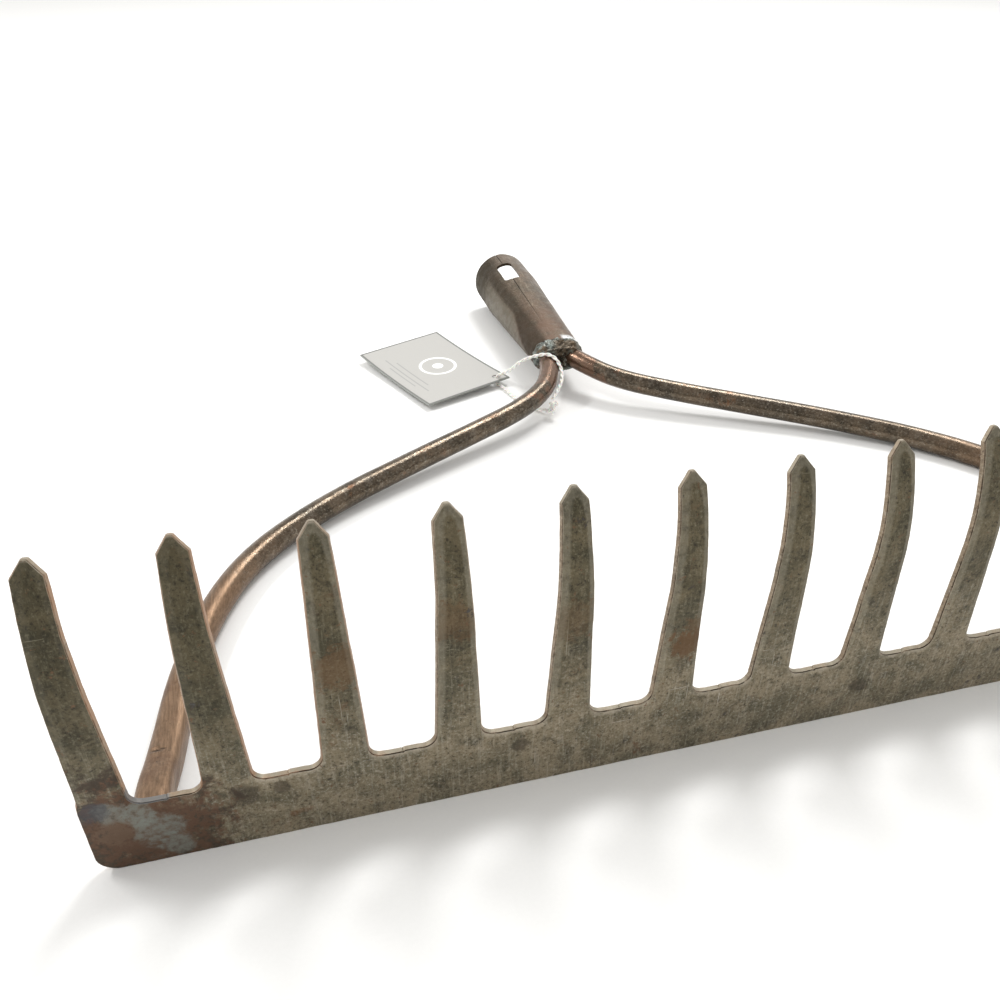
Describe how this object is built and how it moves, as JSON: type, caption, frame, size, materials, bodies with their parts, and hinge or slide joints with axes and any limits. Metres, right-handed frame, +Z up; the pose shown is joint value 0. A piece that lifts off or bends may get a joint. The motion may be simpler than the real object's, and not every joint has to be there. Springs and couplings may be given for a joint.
{
  "type": "garden bow rake head",
  "caption": "Head of a steel garden bow rake: toothed bar, two-armed bow, rolled handle socket, and a small hang tag on a string.",
  "frame": {"origin": "on the ground, under the middle of the head's outline, with the head lying on its back and its tines up", "axes": "+X along the tine bar, +Y from the bar towards the socket's mouth, +Z up, the way the tines point"},
  "size_m": [0.4158, 0.366, 0.0959],
  "materials": {
    "bar_steel": "dark worn steel with rust",
    "rod_steel": "dark drawn steel, satin with bright streaks",
    "socket_steel": "brown patina, worn bright on one side",
    "weld_steel": "lumpy grey weld metal",
    "card": "satin card",
    "string": "twisted cotton"
  },
  "bodies": {
    "rake_head": {"tine_bar": "bar_steel", "left_bow_arm": "rod_steel", "right_bow_arm": "rod_steel", "handle_socket": "socket_steel", "left_bar_weld": "weld_steel", "right_bar_weld": "weld_steel", "neck_weld": "weld_steel", "hang_tag": "card", "tag_string": "string", "tag_knot": "string"}
  },
  "joints": []
}
